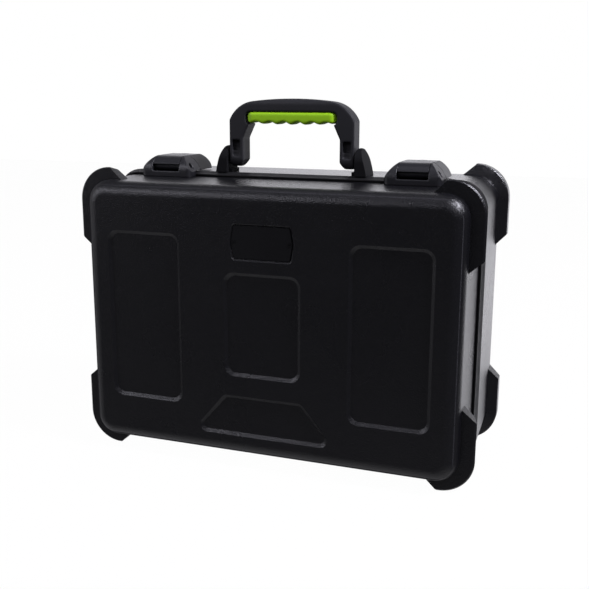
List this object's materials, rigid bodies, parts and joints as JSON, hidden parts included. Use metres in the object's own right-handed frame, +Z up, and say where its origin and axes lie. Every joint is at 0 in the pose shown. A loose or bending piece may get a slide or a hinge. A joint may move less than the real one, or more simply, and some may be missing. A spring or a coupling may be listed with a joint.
{
  "type": "microphone case",
  "caption": "Black moulded microphone case standing upright, with a hinged lid, corner bumpers, key latches, a folding handle with a green grip, and a foam insert with microphone drops.",
  "frame": {"origin": "on the ground below the centre of the case, which stands upright on its bottom bumpers", "axes": "+X to the right as seen from the lid, +Y from the lid at the front to the base at the back, +Z up"},
  "size_m": [0.489, 0.2258, 0.4295],
  "materials": {
    "shell_black": "pebble-grained moulded polyethylene",
    "rim_black": "ribbed extruded rim",
    "seal_rubber": "soft sealing strip",
    "badge_black": "fine grained plate, bare",
    "dark_screws": "blackened screws",
    "hinge_steel": "black coated steel",
    "handle_black": "satin moulded nylon",
    "grip_green": "soft green moulded grip",
    "dark_pins": "blackened steel pins",
    "latch_black": "satin moulded nylon",
    "keeper_steel": "plain pressed steel",
    "lock_dark": "dark lacquered lock",
    "foam_grey": "open-cell foam"
  },
  "bodies": {
    "base": {"base_shell": "shell_black", "base_valance": "rim_black", "rim_gasket": "seal_rubber", "hinge_leaves_base": "hinge_steel", "hinge_pins": "hinge_steel", "hinge_rivets_base": "hinge_steel", "handle_bracket_right": "handle_black", "handle_bracket_left": "handle_black", "pivot_pin_right": "dark_pins", "pivot_pin_left": "dark_pins", "bracket_screws": "dark_screws", "latch_keeper_right": "keeper_steel", "latch_keeper_left": "keeper_steel", "keeper_screws": "dark_screws", "foam_pad": "foam_grey", "foam_rails": "foam_grey", "foam_dividers": "foam_grey"},
    "lid": {"lid_shell": "shell_black", "lid_valance": "rim_black", "badge_plate": "badge_black", "badge_screws": "dark_screws", "hinge_leaves_lid": "hinge_steel", "hinge_rivets_lid": "hinge_steel", "latch_body_right": "latch_black", "latch_body_left": "latch_black", "latch_pin_right": "dark_pins", "latch_pin_left": "dark_pins", "latch_screws": "dark_screws", "lid_foam": "foam_grey"},
    "handle": {"handle_frame": "handle_black", "handle_grip": "grip_green"},
    "lever_right": {"latch_lever_right": "latch_black"},
    "lever_left": {"latch_lever_left": "latch_black"},
    "lock_right": {"lock_cylinder_right": "lock_dark", "lock_cam_right": "keeper_steel"},
    "lock_left": {"lock_cylinder_left": "lock_dark", "lock_cam_left": "keeper_steel"}
  },
  "joints": [
    {"name": "lid_hinge", "type": "hinge", "parent": "base", "child": "lid", "pos_m": [0, -0.029, 0.004], "axis": [1, 0, 0], "range_deg": [0, 100]},
    {"name": "handle_fold", "type": "hinge", "parent": "base", "child": "handle", "pos_m": [0, -0.0085, 0.359], "axis": [1, 0, 0], "range_deg": [-90, 90]},
    {"name": "latch_right", "type": "hinge", "parent": "lid", "child": "lever_right", "pos_m": [0.15341, -0.0344, 0.3483], "axis": [1, 0, 0], "range_deg": [0, 110]},
    {"name": "latch_left", "type": "hinge", "parent": "lid", "child": "lever_left", "pos_m": [-0.15341, -0.0344, 0.3483], "axis": [1, 0, 0], "range_deg": [0, 110]},
    {"name": "lock_turn_right", "type": "hinge", "parent": "lever_right", "child": "lock_right", "pos_m": [0.15341, 0.0055, 0.3572], "axis": [0, 0, 1], "range_deg": [0, 90]},
    {"name": "lock_turn_left", "type": "hinge", "parent": "lever_left", "child": "lock_left", "pos_m": [-0.15341, 0.0055, 0.3572], "axis": [0, 0, -1], "range_deg": [0, 90]}
  ]
}
